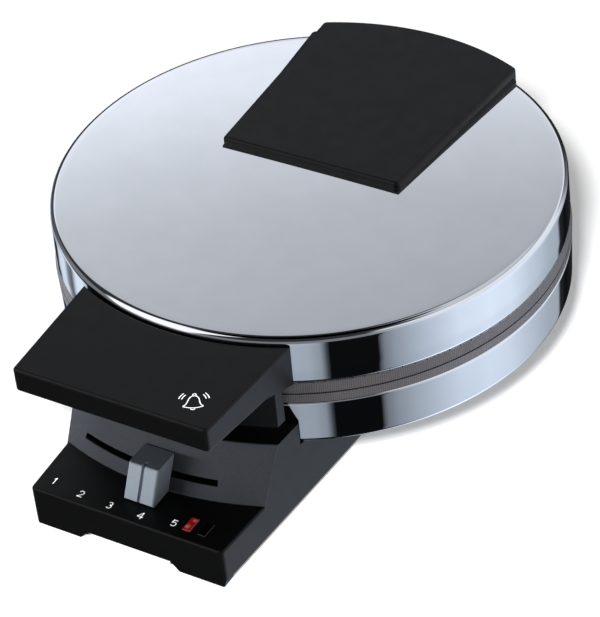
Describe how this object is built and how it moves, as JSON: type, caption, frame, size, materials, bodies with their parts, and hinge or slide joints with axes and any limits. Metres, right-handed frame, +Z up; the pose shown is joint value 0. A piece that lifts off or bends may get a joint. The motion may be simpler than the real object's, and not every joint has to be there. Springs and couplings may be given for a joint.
{
  "type": "heart waffle iron",
  "caption": "Round countertop waffle iron for heart shaped waffles: polished hinged lid with a flat handle, narrow base with browning slider and lamp windows.",
  "frame": {"origin": "middle of the outline on the table, under the closed appliance", "axes": "+X to the right as seen from the handle, +Y to the rear (the handle points to -Y), +Z up"},
  "size_m": [0.2, 0.2622, 0.082],
  "materials": {
    "cast_plate": "satin",
    "polished_steel": "polished",
    "rod": "satin",
    "sheet_steel": "satin",
    "screw_steel": "satin",
    "hinge_casting": "satin",
    "bronze": "satin",
    "brass": "satin",
    "black_plastic": "satin",
    "inner_plastic": "satin",
    "knob_plastic": "satin",
    "red_plastic": "polished",
    "smoke_plastic": "polished",
    "lamp_plastic": "polished",
    "white_plastic": "satin",
    "board_laminate": "satin",
    "foil": "satin",
    "rubber": "matte"
  },
  "bodies": {
    "base": {"base_housing": "black_plastic", "bottom_cover": "inner_plastic", "bottom_cover_screws": "screw_steel", "rubber_feet": "rubber", "deck_screws": "screw_steel", "cord_gland": "rubber", "cord_clamp": "inner_plastic", "cord_clamp_screws": "screw_steel", "terminal_block": "white_plastic", "terminal_screws": "brass", "control_board": "board_laminate", "control_board_screws": "screw_steel", "buzzer": "inner_plastic", "capacitor": "foil", "lamp_board": "board_laminate", "lamps": "lamp_plastic", "red_lens": "red_plastic", "dark_lens": "smoke_plastic", "thermostat": "sheet_steel", "thermostat_screws": "screw_steel", "thermal_fuse": "hinge_casting", "fuse_clip": "sheet_steel", "fuse_clip_screws": "screw_steel", "lower_plate": "cast_plate", "lower_element": "rod", "lower_element_pins": "screw_steel", "lower_heat_shield": "sheet_steel", "lower_shield_screws": "screw_steel", "lower_shell": "polished_steel", "hinge_bracket": "sheet_steel", "hinge_bracket_screws": "screw_steel", "hinge_pin": "screw_steel", "hinge_pin_clips": "screw_steel"},
    "lid": {"upper_plate": "cast_plate", "upper_element": "rod", "upper_element_pins": "screw_steel", "upper_heat_shield": "sheet_steel", "upper_shield_screws": "screw_steel", "upper_shell": "polished_steel", "hinge_arms": "hinge_casting", "hinge_arm_screws": "screw_steel", "hinge_bushes": "bronze", "hinge_cover_top": "black_plastic", "hinge_cover_frame": "black_plastic", "hinge_cover_screws": "screw_steel", "handle_top": "black_plastic", "handle_lower": "black_plastic", "handle_panel_screws": "screw_steel", "handle_clip": "sheet_steel", "handle_clip_screws": "screw_steel", "handle_screws": "screw_steel"},
    "heat_lever": {"thermostat_spindle": "screw_steel", "browning_lever": "sheet_steel", "lever_screw": "screw_steel", "slider_knob": "knob_plastic"}
  },
  "joints": [
    {"name": "lid_hinge", "type": "hinge", "parent": "base", "child": "lid", "pos_m": [0, 0.12105, 0.0548], "axis": [-1, 0, 0], "range_deg": [0, 100]},
    {"name": "browning_slider", "type": "hinge", "parent": "base", "child": "heat_lever", "pos_m": [0, 0.01155, 0.02365], "axis": [0, 0, 1], "range_deg": [-15, 10.2]}
  ]
}
